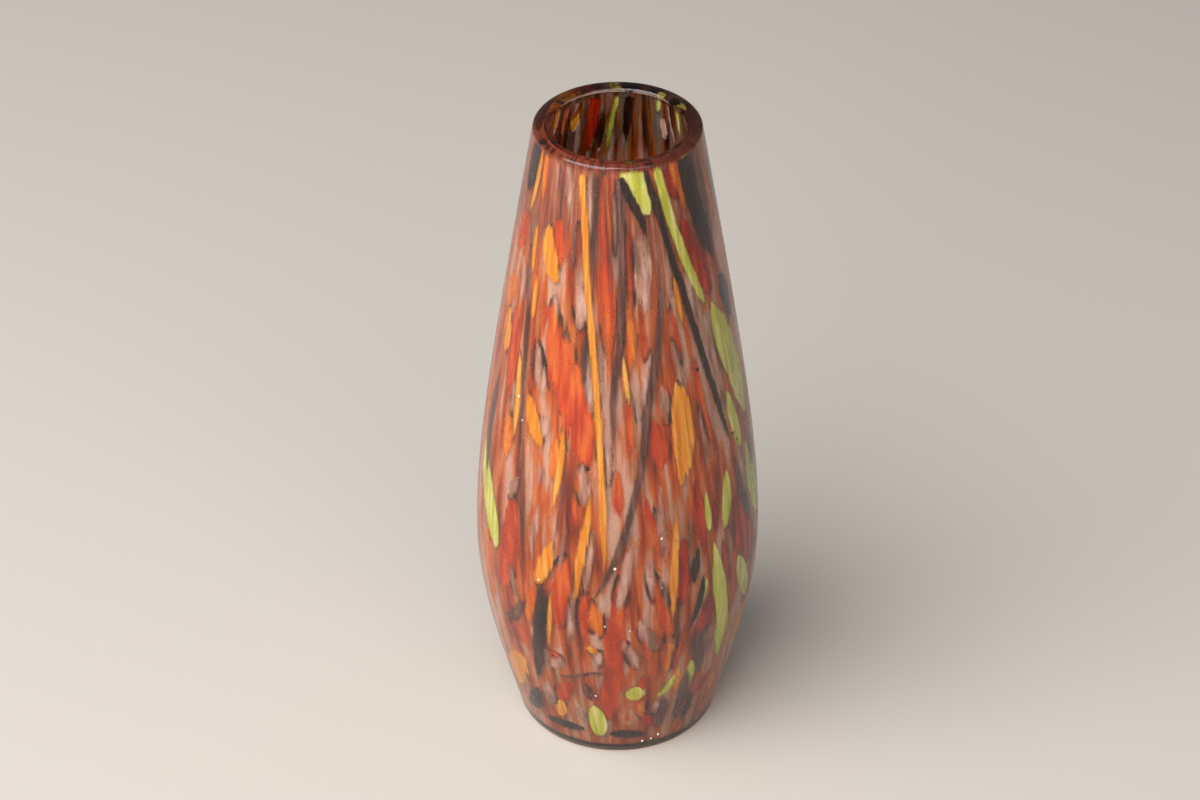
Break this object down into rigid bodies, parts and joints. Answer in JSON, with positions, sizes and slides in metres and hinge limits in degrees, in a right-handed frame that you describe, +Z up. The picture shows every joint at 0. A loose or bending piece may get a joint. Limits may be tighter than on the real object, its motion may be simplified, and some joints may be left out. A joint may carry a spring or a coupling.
{
  "type": "vase",
  "caption": "Tall hand blown glass vase with a round belly and narrow mouth; coloured glass shards and trails lie between a clear liner and a satin casing.",
  "frame": {"origin": "middle of the flat foot, on the surface that the vase stands on", "axes": "+Z up the vase's axis to the mouth; -Y is the front, the side that faces the viewer; +X is to the viewer's right"},
  "size_m": [0.1028, 0.1028, 0.25],
  "materials": {
    "clear_liner": "glossy clear glass, fire polished",
    "satin_casing": "clear glass with an acid-etched satin skin",
    "orange_ground": "streaky orange-brown glass with clear windows",
    "vermilion_glass": "translucent orange-red glass",
    "oxblood_glass": "deep translucent red glass",
    "tangerine_glass": "translucent orange glass",
    "lilac_glass": "pale lilac-grey translucent glass",
    "amber_glass": "translucent amber glass",
    "lime_glass": "opal lime-yellow glass",
    "aubergine_glass": "dark purple-brown glass",
    "black_glass": "near-black glass"
  },
  "bodies": {
    "root": {"inner_gather": "clear_liner", "outer_casing": "satin_casing", "orange_ground": "orange_ground", "vermilion_shards": "vermilion_glass", "oxblood_shards": "oxblood_glass", "tangerine_shards": "tangerine_glass", "lilac_shards": "lilac_glass", "amber_trails": "amber_glass", "lime_shards": "lime_glass", "aubergine_trails": "aubergine_glass", "black_shards": "black_glass"}
  },
  "joints": []
}
